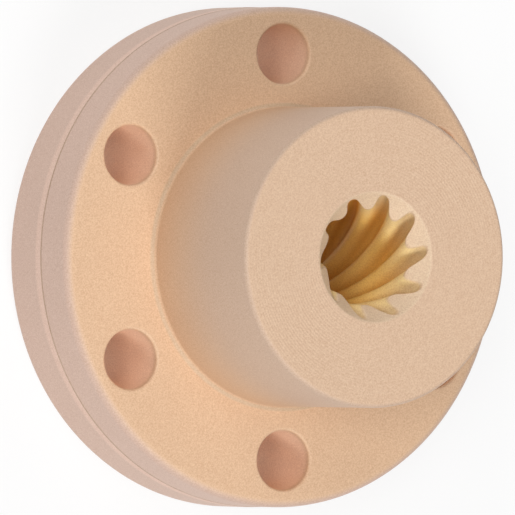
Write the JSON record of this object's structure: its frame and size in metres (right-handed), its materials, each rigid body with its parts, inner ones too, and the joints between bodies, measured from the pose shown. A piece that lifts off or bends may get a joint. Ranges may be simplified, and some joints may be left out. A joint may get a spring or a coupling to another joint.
{
  "type": "lead screw nut",
  "caption": "Round flanged polymer nut for a high-helix lead screw, with a hub, a ring of screw holes through the flange and a multi-start internal thread.",
  "frame": {"origin": "centre of the flange's back face, on the nut's axis", "axes": "+Z along the nut's axis from the flange's back face towards the hub's nose; one screw hole lies 30 degrees from +X towards +Y"},
  "size_m": [0.042, 0.042, 0.025],
  "materials": {
    "moulded_polymer": "matte beige moulded polymer, faintly speckled, with fine rings on the nose"
  },
  "bodies": {
    "root": {"nut": "moulded_polymer"}
  },
  "joints": []
}
